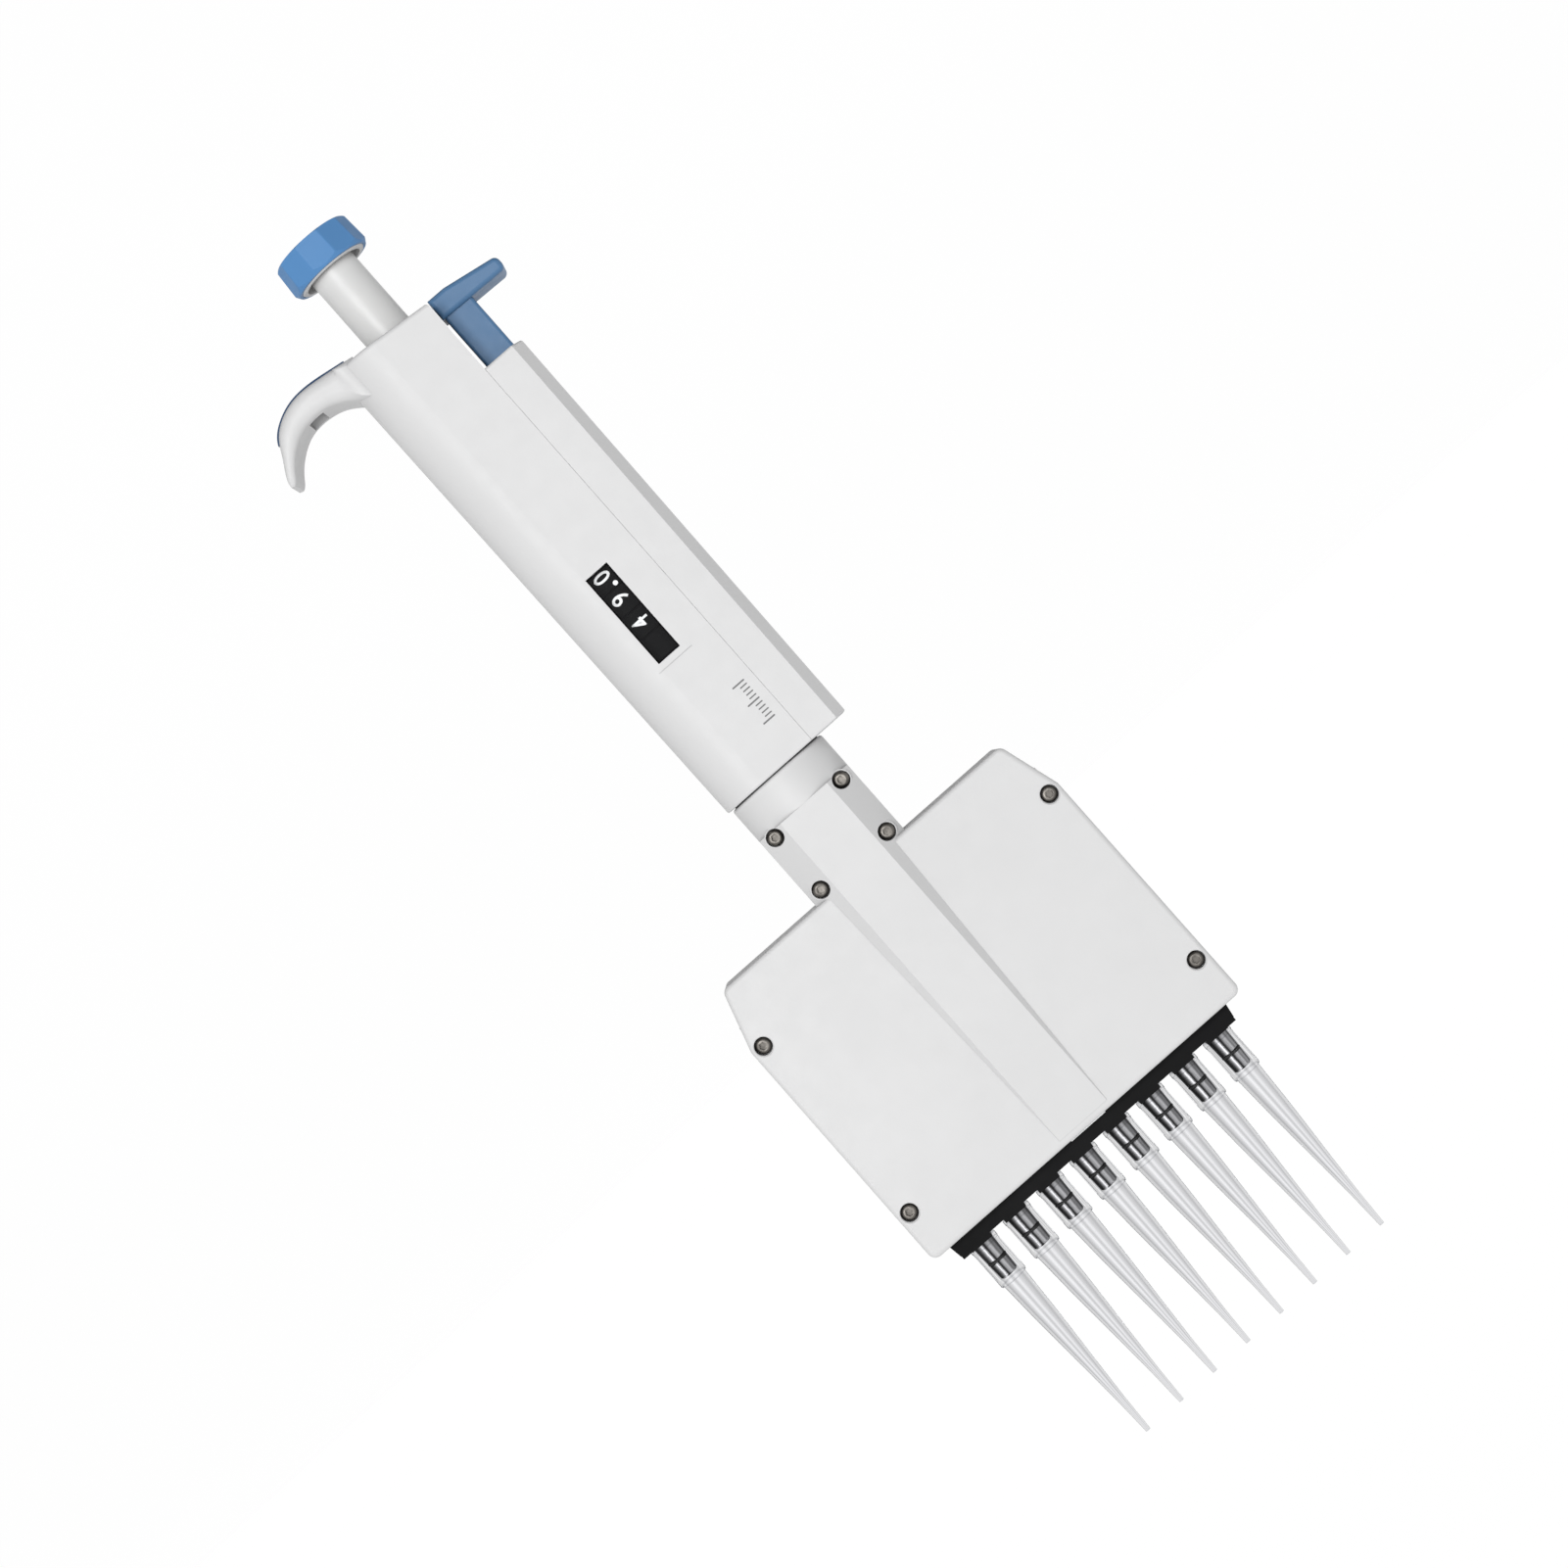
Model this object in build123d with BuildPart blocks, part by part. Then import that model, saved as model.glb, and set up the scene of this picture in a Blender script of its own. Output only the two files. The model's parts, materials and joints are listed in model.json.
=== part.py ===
"""Eight-channel mechanical pipette with its tips fitted, upright, tips down.

Frame: +Z along the pipette's long axis towards the push button, -Y is the display side, origin on the
long axis at the level of the tip orifices. All sizes are in millimetres.
"""

import math
import os

from build123d import *

os.makedirs("parts", exist_ok=True)

# ---------------------------------------------------------------- driving dimensions
CHANNELS = 8
PITCH = 9.0                      # microplate pitch
CH_X = [PITCH * (i - (CHANNELS - 1) / 2) for i in range(CHANNELS)]

# handle, bottom and top section
HZ0, HZ1 = 149.6, 272.0          # section heights used for the loft
H_XL = (-12.7, -13.62)           # left side at HZ0, HZ1
H_XR = (18.55, 19.15)            # right side of the ejector column
H_D = (12.0, 12.5)               # half depth
H_R = (9.3, 9.9)                 # left corner radius
CHAM_X, CHAM_Y = 2.35, 3.3       # right front and rear chamfers
SEAM_X, SEAM_GAP = 9.6, 0.05     # parting between body and ejector column
INNER_X = 8.4                    # inner face of the housing's right wall
WALL = 1.8
TOP_Z, TOP_SLOPE = 266.35, 0.10  # slanted top face: height on the axis and fall per mm of X
COL_TOP = 248.0                  # top of the ejector column

# display
WIN_X0, WIN_X1, WIN_Z0, WIN_Z1 = -3.25, 2.35, 181.0, 203.1
WHEEL_R, WHEEL_T, WHEEL_PITCH, WHEEL_Z0 = 8.1, 5.5, 5.7, 184.25

# push button, operating rod and plunger rod
PRESS = 16.0
ROD_R, ROD_Z0, ROD_TOP = 5.25, 250.5, 290.2
HEX_AF, HEX_Z0 = 6.1, 224.0
PLUNGER_R, PLUNGER_TOP = 2.0, 270.0
KNOB_Z0, KNOB_Z1 = 284.9, 292.7
KNOB_RB, KNOB_RT = 9.46, 8.9      # corner radius of the ten-sided body at its foot and above its top

# counter drive and stop nut
DRIVE_R, DRIVE_Z0, DRIVE_Z1 = 4.9, 206.2, 232.2
NUT_R, NUT_Z0, NUT_Z1 = 6.6, 210.2, 220.6

# ejector
EJ_TRAVEL = 8.0
EJ_X = 13.7                      # push rod axis
YOKE_Z0, YOKE_Z1 = 172.05, 175.05
SLEEVE_R, SLEEVE_RI = 5.5, 4.2
HUB_Z0 = 128.0

# swivel neck
NECK_R, NECK_TUBE_R, NECK_BORE_R = 11.85, 6.9, 5.6
NECK_Z0, NECK_Z1, NECK_TOP = 140.9, 149.38, 160.0      # round collar of the covers, end of the tube
FLANGE_R, FLANGE_Z0, FLANGE_Z1 = 10.6, 143.5, 146.5     # flange of the neck tube, held by the covers

# head shells
HEAD_Z0, HEAD_Z1 = 55.6, 123.9
HEAD_X, HEAD_XT, HEAD_ZS = 40.8, 36.9, 110.7
D_BOT, D_TOP = 11.8, 9.3         # half depth of the plates at HEAD_Z0 and HEAD_Z1
COL_D, COL_F, COL_W = 11.87, 6.2, 11.75   # column: half depth, half width of its flat, half width
COL_Z0, COL_Z1 = 57.2, 141.3
SHELL = 1.7
COVER_SCREWS = [(-38.05, 66.2), (38.05, 66.2), (-38.05, 110.2), (38.05, 110.2)]
NECK_SCREWS = [(-8.8, 126.0), (8.8, 126.0), (-8.8, 139.8), (8.8, 139.8)]
SCREW_HEAD_R, SCREW_HEAD_H, SCREW_R = 1.72, 2.0, 1.0
RECESS_R = 1.9

# channels
CONE_END, CONE_TOP = 42.3, 72.0
PISTON_R = 1.1
BLOCK_Z0, BLOCK_Z1 = 58.5, 68.0
SEAL_Z1 = 76.0
KEEPER_Z0, BRIDGE_Z0, BRIDGE_Z1 = 106.5, 108.0, 113.0
PLATE_Z0, PLATE_Z1 = 116.0, 119.0
PILLAR_X, PILLAR_R = 27.0, 1.75
BAR_Z0, BAR_ROOF, BAR_Z1, BAR_X, BAR_D = 51.2, 52.1, 55.2, 36.9, 6.6
TIP_TOP, TIP_COLLAR_Z, TIP_COLLAR_R = 51.1, 41.4, 3.35


# ---------------------------------------------------------------- shared shapes
def mix(pair, z):
    t = (z - HZ0) / (HZ1 - HZ0)
    return pair[0] + (pair[1] - pair[0]) * t


def save(builder, name):
    builder.part.label = name
    export_step(builder.part, f"parts/{name}.step")
    print(f"{name:24s} solids {len(builder.part.solids()):2d} volume {builder.part.volume:10.2f}"
          f" valid {builder.part.is_valid}")


def disc(r, z0, z1, x=0.0, y=0.0, r_in=0.0, mode=Mode.ADD):
    """Round pad or ring between two heights."""
    with BuildSketch(Plane.XY.offset(z0)) as s:
        with Locations((x, y)):
            Circle(r)
            if r_in:
                Circle(r_in, mode=Mode.SUBTRACT)
    extrude(s.sketch, amount=z1 - z0, mode=mode)


def slab(x0, x1, y0, y1, z0, z1, mode=Mode.ADD):
    """Rectangular block given by its limits."""
    with BuildSketch(Plane.XY.offset(z0)) as s:
        with Locations(((x0 + x1) / 2, (y0 + y1) / 2)):
            Rectangle(x1 - x0, y1 - y0)
    extrude(s.sketch, amount=z1 - z0, mode=mode)


def turned(points, mode=Mode.ADD, cx=0.0):
    """Body of revolution about a vertical axis through (cx, 0), from (radius, height) points."""
    with BuildSketch(Plane(origin=(cx, 0, 0), x_dir=(1, 0, 0), z_dir=(0, -1, 0))) as s:
        with BuildLine():
            Polyline(*points, close=True)
        make_face()
    revolve(s.sketch, axis=Axis((cx, 0, 0), (0, 0, 1)), mode=mode)


def cross_hole(x, z, r, y0, y1, mode=Mode.SUBTRACT):
    """Round pad or hole along Y at (x, z) from y0 to y1."""
    with BuildSketch(Plane(origin=(0, y0, 0), x_dir=(1, 0, 0), z_dir=(0, -1, 0))) as s:
        with Locations((x, z)):
            Circle(r)
    extrude(s.sketch, amount=-(y1 - y0), mode=mode)


def handle_section(z, inset=0.0, x_cut=None):
    """Section of the handle at height z: round left side, flat front and back, chamfered right side."""
    xl, xr, d = mix(H_XL, z) + inset, mix(H_XR, z) - inset, mix(H_D, z) - inset
    r = mix(H_R, z) - inset
    cx, cy = CHAM_X, CHAM_Y
    with BuildSketch(Plane.XY.offset(z)) as s:
        with BuildLine():
            if x_cut is None:
                Polyline((xl + r, -d), (xr - cx, -d), (xr, -d + cy), (xr, d - cy), (xr - cx, d), (xl + r, d))
            else:
                Polyline((xl + r, -d), (x_cut, -d), (x_cut, d), (xl + r, d))
            RadiusArc((xl + r, d), (xl, d - r), -r)
            Line((xl, d - r), (xl, -d + r))
            RadiusArc((xl, -d + r), (xl + r, -d), -r)
        make_face()
    return s.sketch


def column_section(z, inset=0.0):
    """Eight-sided section of the column that runs down the head."""
    d, f, w = COL_D - inset, COL_F - 0.414 * inset, COL_W - inset
    k = w - f
    with BuildSketch(Plane.XY.offset(z)) as s:
        with BuildLine():
            Polyline((-f, -d), (f, -d), (w, -d + k), (w, d - k), (f, d), (-f, d), (-w, d - k), (-w, -d + k),
                     close=True)
        make_face()
    return s.sketch


def head_depth(z):
    return D_BOT + (D_TOP - D_BOT) * (z - HEAD_Z0) / (HEAD_Z1 - HEAD_Z0)


def shifted(points, d):
    """Open outline moved by d to its right-hand side."""
    out = []
    for i, (x, z) in enumerate(points):
        x0, z0 = points[max(i - 1, 0)]
        x1, z1 = points[min(i + 1, len(points) - 1)]
        n = math.hypot(x1 - x0, z1 - z0)
        out.append((x + (z1 - z0) / n * d, z - (x1 - x0) / n * d))
    return out


def spring(r, wire, z0, z1, turns, x=0.0):
    """Closed-ended coil spring, round wire, ends ground inside the height z0..z1."""
    h = z1 - z0 - 2 * wire
    with BuildPart() as b:
        with BuildLine(Plane.XY.offset(z0 + wire)) as path:
            Helix(pitch=h / turns, height=h, radius=r)
        start = path.wires()[0]
        with BuildSketch(Plane(origin=start @ 0, z_dir=start % 0)) as s:
            Circle(wire)
        sweep(s.sketch, path=start)
    return b.part.moved(Location((x, 0, 0)))


# ================================================================ handle housing
TOP_PLANE = Plane(origin=(0, 0, TOP_Z), z_dir=(TOP_SLOPE, 0, 1))

with BuildPart() as handle_outer:
    add(handle_section(HZ0))
    add(handle_section(HZ1))
    loft(ruled=True)
    split(bisect_by=TOP_PLANE, keep=Keep.BOTTOM)

with BuildPart() as handle_cavity:
    add(handle_section(156.4, WALL, INNER_X))
    add(handle_section(262.0, WALL, INNER_X))
    loft(ruled=True)

# finger hook: outline of its top (pad surface) and of its underside
HOOK_TOP = [(-10.58, 268.52), (-14.5, 269.12), (-20.4, 269.72), (-24.3, 269.3), (-27.4, 268.1),
            (-30.3, 266.0), (-31.6, 264.45), (-34.3, 260.2)]
SLOT_X0, SLOT_X1, SLOT_D, SLOT_ROOF = -24.2, -20.4, 5.0, 265.8
PAD_PROUD, PAD_T, PAD_D = 0.22, 1.1, 6.6     # height above the hook, thickness, half width

# rounded sections along the hook: centre x, z, direction (degrees from -X, downwards), thickness, half width
HOOK_SECTIONS = [(-8.6, 263.6, 0, 9.0, 9.0), (-13.9, 265.15, -8, 7.35, 9.0), (-18.2, 266.47, -10, 5.9, 8.8),
                 (-22.4, 266.72, 3, 5.6, 8.6), (-25.8, 266.0, 20, 5.2, 8.3), (-28.85, 264.25, 40, 4.4, 8.0),
                 (-31.28, 261.52, 55, 2.82, 7.6), (-33.2, 258.93, 67, 2.18, 7.2), (-34.14, 257.34, 70, 1.8, 6.9),
                 (-34.68, 256.42, 72, 0.95, 6.3)]
with BuildPart() as hook:
    for x, z, a, t, w in HOOK_SECTIONS:
        a = math.radians(a)
        with BuildSketch(Plane(origin=(x, 0, z), x_dir=(0, 1, 0), z_dir=(-math.cos(a), 0, -math.sin(a)))):
            RectangleRounded(2 * w, t, min(2.4, 0.46 * t))
    loft()
print("hook", hook.part.volume, hook.part.is_valid, hook.part.bounding_box())

with BuildPart() as hook_pad:
    upper, lower = shifted(HOOK_TOP, PAD_PROUD), shifted(HOOK_TOP, PAD_PROUD - PAD_T)
    upper[6] = shifted(HOOK_TOP, 0.0)[6]      # the pad thins out towards its lower end
    with BuildSketch(Plane.XZ):
        with BuildLine():
            Spline(*upper[:7])
            Line(upper[6], lower[6])
            Spline(*reversed(lower[:7]))
            Line(lower[0], upper[0])
        make_face()
    extrude(amount=PAD_D, both=True)

with BuildPart() as handle_housing:
    add(handle_outer.part)
    split(bisect_by=Plane.YZ.offset(SEAM_X), keep=Keep.BOTTOM)
    top_edges = handle_housing.edges().filter_by(lambda e: e.center().Z > 262 and e.bounding_box().size.Z < 4)
    fillet(top_edges, 0.9)
    bottom_edges = handle_housing.edges().group_by(Axis.Z)[0].filter_by(lambda e: e.center().X < SEAM_X - 0.5)
    fillet(bottom_edges, 0.4)
    add(hook.part)
    add(handle_cavity.part, mode=Mode.SUBTRACT)
    # recess for the pad and the hanging slot under the hook
    add(hook_pad.part, mode=Mode.SUBTRACT)
    slab(SLOT_X0, SLOT_X1, -SLOT_D, SLOT_D, 260.0, SLOT_ROOF, mode=Mode.SUBTRACT)
    # boss that carries the rod bush, and its bores
    disc(8.3, 251.0, 262.2)
    disc(6.8, 250.9, 264.0, mode=Mode.SUBTRACT)
    disc(ROD_R + 0.15, 260.0, 270.0, mode=Mode.SUBTRACT)
    # swivel bearing bore in the floor
    disc(8.1, 150.9, 156.5, mode=Mode.SUBTRACT)
    disc(7.1, 149.0, 151.2, mode=Mode.SUBTRACT)
    # display opening and the fine line below it
    slab(WIN_X0, WIN_X1, -14.0, -9.0, WIN_Z0, WIN_Z1, mode=Mode.SUBTRACT)
    slab(-4.4, 4.2, -14.0, -mix(H_D, 179.5) + 0.12, 179.42, 179.62, mode=Mode.SUBTRACT)
    # passage for the ejector yoke
    slab(INNER_X - 0.5, SEAM_X + 0.5, -3.4, 3.4, 163.0, 177.0, mode=Mode.SUBTRACT)
    # grooves that locate the ejector column
    for s in (-1, 1):
        slab(SEAM_X - 0.55, SEAM_X + 0.2, s * 9.0 - 0.45, s * 9.0 + 0.45, 153.9, 244.1, mode=Mode.SUBTRACT)
save(handle_housing, "handle_housing")

with BuildPart() as finger_pad:
    add(hook_pad.part)
    rim = finger_pad.faces().sort_by(Axis.Z)[-1].edges()
    fillet(finger_pad.edges().filter_by(lambda e: abs(abs(e.center().Y) - PAD_D) < 0.01 and e.length > 10
                                        and e.center().Z > 266.9), 0.2)
save(finger_pad, "finger_pad")

# ================================================================ ejector column
with BuildPart() as column_cavity:
    for z in (151.4, 245.9):
        xr, d = mix(H_XR, z) - 1.25, mix(H_D, z) - 1.7
        with BuildSketch(Plane.XY.offset(z)):
            with BuildLine():
                Polyline((9.0, -d), (xr - 1.7, -d), (xr, -d + 2.6), (xr, d - 2.6), (xr - 1.7, d), (9.0, d),
                         close=True)
            make_face()
    loft(ruled=True)

with BuildPart() as ejector_cover:
    add(handle_outer.part)
    split(bisect_by=Plane.YZ.offset(SEAM_X + SEAM_GAP), keep=Keep.TOP)
    split(bisect_by=Plane.XY.offset(COL_TOP), keep=Keep.BOTTOM)
    fillet(ejector_cover.edges().group_by(Axis.Z)[-1].filter_by(lambda e: e.center().X > 9.8), 0.6)
    fillet(ejector_cover.edges().group_by(Axis.Z)[0].filter_by(lambda e: e.center().X > 9.8), 0.4)
    add(column_cavity.part, mode=Mode.SUBTRACT)
    # guide for the button stem
    slab(10.25, 17.65, -4.1, 4.1, 240.0, 250.0, mode=Mode.SUBTRACT)
    # tongues that sit in the housing's grooves
    for s in (-1, 1):
        slab(SEAM_X - 0.5, SEAM_X + 0.4, s * 9.0 - 0.4, s * 9.0 + 0.4, 154.0, 244.0)
        slab(SEAM_X + SEAM_GAP, SEAM_X + 1.3, s * 9.0 - 0.8, s * 10.6 + 0.2 * s, 154.0, 244.0) if s > 0 else \
            slab(SEAM_X + SEAM_GAP, SEAM_X + 1.3, -10.8, -8.2, 154.0, 244.0)
    # bracket that guides the push rod and seats its spring
    slab(SEAM_X + SEAM_GAP, 17.4, -10.8, 10.8, 198.0, 200.0)
    disc(1.75, 197.0, 201.0, EJ_X, 0, mode=Mode.SUBTRACT)
save(ejector_cover, "ejector_cover")

# ================================================================ display window
with BuildPart() as window_lens:
    slab(WIN_X0 + 0.04, WIN_X1 - 0.04, -11.95, -9.4, WIN_Z0 + 0.04, WIN_Z1 - 0.04)
    front = window_lens.faces().sort_by(Axis.Y)[0]
    fillet(front.edges(), 0.35)
    slab(WIN_X0 - 1.5, WIN_X1 + 1.5, -10.2, -9.2, WIN_Z0 - 1.5, WIN_Z1 + 1.5)
save(window_lens, "window_lens")

# ================================================================ volume counter
FRAME_Z0, FRAME_Z1 = 176.9, 209.8
with BuildPart() as counter_frame:
    disc(8.2, FRAME_Z0, 179.9)
    disc(8.2, 206.4, FRAME_Z1)
    slab(-6.0, 6.0, 8.3, 9.9, FRAME_Z0, FRAME_Z1)
    slab(-6.0, 6.0, 4.0, 9.9, FRAME_Z0, 179.9)
    slab(-6.0, 6.0, 4.0, 9.9, 206.4, FRAME_Z1)
    disc(4.05, FRAME_Z0 - 1, 181.0, mode=Mode.SUBTRACT)
    disc(DRIVE_R + 0.05, 206.0, FRAME_Z1 + 1, mode=Mode.SUBTRACT)
    # two guide blades that keep the stop nut from turning
    for s in (-1, 1):
        slab(-0.75, 0.75, s * 6.2 - 0.38, s * 6.2 + 0.38, FRAME_Z1 - 0.5, 231.8)
save(counter_frame, "counter_frame")

with BuildPart() as drive_sleeve:
    disc(DRIVE_R, DRIVE_Z0 - 1.4, DRIVE_Z1)
    disc(4.0, 177.2, DRIVE_Z0 - 1.3)
    disc(PLUNGER_R + 0.15, 176.0, 207.0, mode=Mode.SUBTRACT)
    with BuildSketch(Plane.XY.offset(DRIVE_Z0)):
        RegularPolygon(radius=HEX_AF / 2 + 0.05, side_count=6, major_radius=False)
    extrude(amount=40, mode=Mode.SUBTRACT)
save(drive_sleeve, "drive_sleeve")

WHEEL_NAMES = ["digit_wheel_hundreds", "digit_wheel_tens", "digit_wheel_units", "digit_wheel_tenths"]
for i, name in enumerate(WHEEL_NAMES):
    zc = WHEEL_Z0 + WHEEL_PITCH * i
    bore = 4.0 if name == "digit_wheel_tenths" else 4.06
    h = WHEEL_T / 2
    with BuildPart() as wheel:
        turned([(bore, zc - h), (5.3, zc - h), (5.3, zc - 1.0), (6.9, zc - 1.0), (6.9, zc - h),
                (WHEEL_R - 0.2, zc - h), (WHEEL_R, zc - h + 0.2), (WHEEL_R, zc + h - 0.2),
                (WHEEL_R - 0.2, zc + h), (6.9, zc + h), (6.9, zc + 1.0), (5.3, zc + 1.0), (5.3, zc + h),
                (bore, zc + h)])
        # carry notches in the web
        with BuildSketch(Plane.XY.offset(zc - 1.5)):
            with PolarLocations(6.1, 10):
                Circle(0.45)
        extrude(amount=3.0, mode=Mode.SUBTRACT)
    save(wheel, name)

with BuildPart() as stop_nut:
    disc(NUT_R, NUT_Z0, NUT_Z1)
    disc(DRIVE_R + 0.06, NUT_Z0 - 1, NUT_Z0 + 6.2, mode=Mode.SUBTRACT)
    disc(DRIVE_R + 0.3, NUT_Z0 + 6.0, NUT_Z1 + 1, mode=Mode.SUBTRACT)
    for s in (-1, 1):
        slab(-0.82, 0.82, s * 6.5 - 0.75, s * 6.5 + 0.75, NUT_Z0 - 1, NUT_Z1 + 1, mode=Mode.SUBTRACT)
save(stop_nut, "stop_nut")

# ================================================================ plunger, rod and button
with BuildPart() as plunger_rod:
    turned([(0, 110.05), (5.0, 110.05), (5.0, 112.9), (PLUNGER_R, 112.9), (PLUNGER_R, 222.75), (1.6, 222.75),
            (1.6, 223.75), (PLUNGER_R, 223.75), (PLUNGER_R, PLUNGER_TOP - 0.4), (1.6, PLUNGER_TOP),
            (0, PLUNGER_TOP)])
save(plunger_rod, "plunger_rod")

with BuildPart() as rod_clip:
    disc(2.85, 222.8, 223.7, r_in=1.62)
    slab(-1.2, 1.2, -3.5, -0.5, 222.0, 224.0, mode=Mode.SUBTRACT)
save(rod_clip, "rod_clip")

with BuildPart() as spring_seat:
    disc(8.05, 247.3, 248.45, r_in=6.75)
save(spring_seat, "spring_seat")

with BuildPart() as operating_rod:
    with BuildSketch(Plane.XY.offset(HEX_Z0)):
        RegularPolygon(radius=HEX_AF / 2, side_count=6, major_radius=False)
    extrude(amount=248.6 - HEX_Z0)
    disc(8.1, 248.5, 250.5)
    disc(ROD_R, 250.4, ROD_TOP)
    disc(PLUNGER_R + 0.05, 200.0, PLUNGER_TOP + 0.05, mode=Mode.SUBTRACT)
    disc(3.0, 279.0, ROD_TOP + 1, mode=Mode.SUBTRACT)
save(operating_rod, "operating_rod")

CROWN_X, CROWN_Z = 8.3, 291.95
CROWN_R = (CROWN_X ** 2 + (KNOB_Z1 - CROWN_Z) ** 2) / (2 * (KNOB_Z1 - CROWN_Z))


def crown(x):
    """Height of the spherical crown of the button at radius x."""
    return KNOB_Z1 - CROWN_R + math.sqrt(CROWN_R ** 2 - x ** 2)


with BuildPart() as knob_dome:
    with BuildSketch(Plane.XZ):
        with BuildLine():
            Line((0, KNOB_Z0), (8.7, KNOB_Z0))
            Line((8.7, KNOB_Z0), (9.55, 286.2))
            Line((9.55, 286.2), (9.3, 290.7))
            ThreePointArc((9.3, 290.7), (9.0, 291.6), (CROWN_X, CROWN_Z))
            ThreePointArc((CROWN_X, CROWN_Z), (4.0, crown(4.0)), (0, KNOB_Z1))
            Line((0, KNOB_Z1), (0, KNOB_Z0))
        make_face()
    revolve(axis=Axis.Z)

with BuildPart() as push_button:
    for z, r in ((KNOB_Z0 - 0.5, KNOB_RB), (KNOB_Z1 + 0.5, KNOB_RT)):
        with BuildSketch(Plane.XY.offset(z)) as decagon:
            RegularPolygon(radius=r, side_count=10)
            fillet(decagon.vertices(), 0.8)
    loft(ruled=True)
    add(knob_dome.part, mode=Mode.INTERSECT)
    disc(8.05, KNOB_Z0 - 1, ROD_TOP, mode=Mode.SUBTRACT)
    disc(2.98, 280.0, ROD_TOP + 0.4)
save(push_button, "push_button")

with BuildPart() as button_liner:
    turned([(6.85, KNOB_Z0 - 0.25), (7.75, KNOB_Z0 - 0.25), (8.0, KNOB_Z0 + 0.1), (8.0, ROD_TOP - 0.05),
            (ROD_R + 0.02, ROD_TOP - 0.05), (ROD_R + 0.02, ROD_TOP - 1.6), (6.85, ROD_TOP - 1.6)])
save(button_liner, "button_liner")

with BuildPart() as top_bush:
    disc(6.75, 257.0, 263.95, r_in=ROD_R + 0.06)
save(top_bush, "top_bush")

with BuildPart() as main_spring:
    add(spring(7.4, 0.5, FRAME_Z1 + 0.05, 247.25, 8))
save(main_spring, "main_spring")

# ================================================================ ejector, handle side
with BuildPart() as ejector_button:
    with BuildSketch(Plane.XZ):
        with BuildLine():
            Polyline((9.95, 261.9), (9.95, 266.8), (14.2, 266.75), (26.45, 264.65), (26.45, 261.45), close=True)
        lever_face = make_face()
        fillet(lever_face.vertices().filter_by(lambda v: v.X > 20), 1.35)
        fillet(lever_face.vertices().filter_by(lambda v: v.X < 12 and v.Z > 264), 1.3)
        fillet(lever_face.vertices().filter_by(lambda v: 12 < v.X < 20), 3.0)
    extrude(amount=5.2, both=True)
    fillet(ejector_button.edges().filter_by(lambda e: abs(abs(e.center().Y) - 5.2) < 0.01), 1.05)
    slab(10.4, 17.45, -4.0, 4.0, 234.0, 262.4)
    fillet(ejector_button.edges().filter_by(Axis.Z).filter_by(lambda e: e.length > 20), 0.7)
    disc(1.65, 233.0, 246.0, EJ_X, 0, mode=Mode.SUBTRACT)
save(ejector_button, "ejector_button")

with BuildPart() as ejector_rod:
    disc(1.6, YOKE_Z0 - 1.6, 245.8, EJ_X, 0)
save(ejector_rod, "ejector_rod")

with BuildPart() as ejector_yoke:
    with BuildSketch(Plane.XY.offset(YOKE_Z0)):
        Circle(7.9)
        with Locations((EJ_X / 2 + 1.0, 0)):
            Rectangle(EJ_X + 2.0, 6.0)
        with Locations((EJ_X, 0)):
            Circle(3.0)
    extrude(amount=YOKE_Z1 - YOKE_Z0)
    disc(SLEEVE_R, YOKE_Z0 - 1, YOKE_Z1 - 0.9, mode=Mode.SUBTRACT)
    disc(4.2, YOKE_Z0 - 1, YOKE_Z1 + 1, mode=Mode.SUBTRACT)
    disc(1.6, YOKE_Z0 - 1, YOKE_Z1 + 1, EJ_X, 0, mode=Mode.SUBTRACT)
save(ejector_yoke, "ejector_yoke")

FOOT_Z0 = HUB_Z0 + 1.55
with BuildPart() as ejector_sleeve:
    turned([(SLEEVE_RI, FOOT_Z0), (SLEEVE_R, FOOT_Z0), (SLEEVE_R, FOOT_Z0 + 1.9), (4.85, FOOT_Z0 + 1.9),
            (4.85, FOOT_Z0 + 4.8), (SLEEVE_R, FOOT_Z0 + 4.8), (SLEEVE_R, YOKE_Z1 - 0.95),
            (SLEEVE_RI, YOKE_Z1 - 0.95)])
save(ejector_sleeve, "ejector_sleeve")

with BuildPart() as ejector_spring:
    add(spring(2.55, 0.35, 200.05, 233.95, 10, EJ_X))
save(ejector_spring, "ejector_spring")

# ================================================================ swivel neck
with BuildPart() as swivel_bush:
    disc(8.05, 151.25, 156.35, r_in=NECK_TUBE_R + 0.05)
save(swivel_bush, "swivel_bush")

with BuildPart() as neck_tube:
    turned([(NECK_BORE_R, 134.6), (NECK_TUBE_R, 134.6), (NECK_TUBE_R, FLANGE_Z0), (FLANGE_R, FLANGE_Z0),
            (FLANGE_R, FLANGE_Z1), (NECK_TUBE_R, FLANGE_Z1), (NECK_TUBE_R, 156.5),
            (6.3, 156.5), (6.3, 157.5), (NECK_TUBE_R, 157.5), (NECK_TUBE_R, NECK_TOP - 0.4),
            (NECK_TUBE_R - 0.4, NECK_TOP), (NECK_BORE_R, NECK_TOP)])
save(neck_tube, "neck_tube")

with BuildPart() as swivel_washer:
    disc(11.0, NECK_Z1 + 0.02, HZ0 - 0.02, r_in=NECK_TUBE_R + 0.1)
save(swivel_washer, "swivel_washer")

with BuildPart() as neck_clip:
    disc(8.2, 156.52, 157.48, r_in=6.32)
    slab(-2.2, 2.2, 3.0, 9.0, 156.0, 158.0, mode=Mode.SUBTRACT)
save(neck_clip, "neck_clip")

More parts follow.
